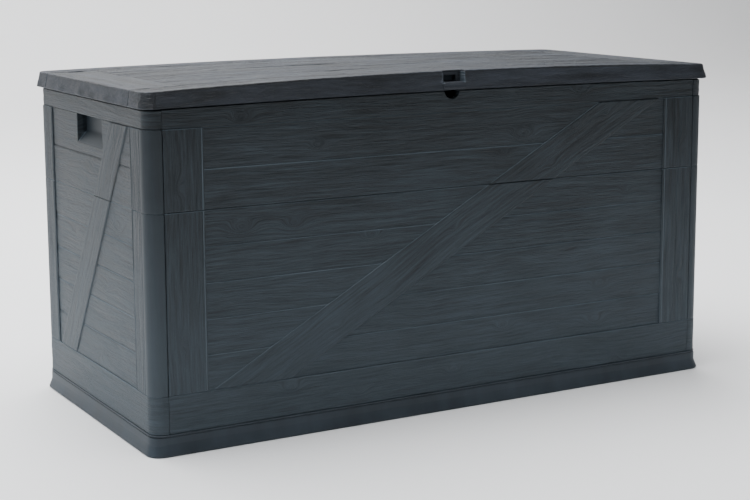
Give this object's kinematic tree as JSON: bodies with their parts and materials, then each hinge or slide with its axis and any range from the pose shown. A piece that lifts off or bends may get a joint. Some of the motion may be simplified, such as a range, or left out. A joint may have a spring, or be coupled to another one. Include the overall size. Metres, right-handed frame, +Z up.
{
  "type": "deck storage box",
  "caption": "Garden storage chest with board-patterned plastic walls, hand pockets and a crowned lid that hinges open at the rear.",
  "frame": {"origin": "middle of the footprint, on the ground", "axes": "+X along the width, to the right as seen from the front; -Y is the front with the lock; +Y is the rear with the hinges; +Z up"},
  "size_m": [1.2, 0.56, 0.63],
  "materials": {
    "wall_plastic": "moulded wood grain, anthracite",
    "base_plastic": "smooth moulded, anthracite",
    "lid_plastic": "moulded wood grain, anthracite",
    "inner_plastic": "fine moulded texture, anthracite",
    "zinc_steel": "bright zinc"
  },
  "bodies": {
    "box": {"base_tray": "base_plastic", "floor_panel": "inner_plastic", "front_panel_lower": "wall_plastic", "front_panel_upper": "wall_plastic", "rear_panel_lower": "wall_plastic", "rear_panel_upper": "wall_plastic", "left_end_lower": "wall_plastic", "left_end_upper": "wall_plastic", "right_end_lower": "wall_plastic", "right_end_upper": "wall_plastic", "base_screws": "zinc_steel", "corner_screws": "zinc_steel", "lock_bar": "zinc_steel", "hinge_bracket_left": "inner_plastic", "hinge_bracket_centre": "inner_plastic", "hinge_bracket_right": "inner_plastic", "hinge_pin_left": "zinc_steel", "hinge_pin_centre": "zinc_steel", "hinge_pin_right": "zinc_steel", "bracket_screws": "zinc_steel"},
    "lid": {"lid_shell": "lid_plastic", "lid_liner": "inner_plastic", "liner_screws": "zinc_steel", "lid_leaf_left": "inner_plastic", "lid_leaf_centre": "inner_plastic", "lid_leaf_right": "inner_plastic", "leaf_screws": "zinc_steel"}
  },
  "joints": [
    {"name": "lid_hinge", "type": "hinge", "parent": "box", "child": "lid", "pos_m": [0, 0.274, 0.59], "axis": [-1, 0, 0], "range_deg": [0, 100]}
  ]
}
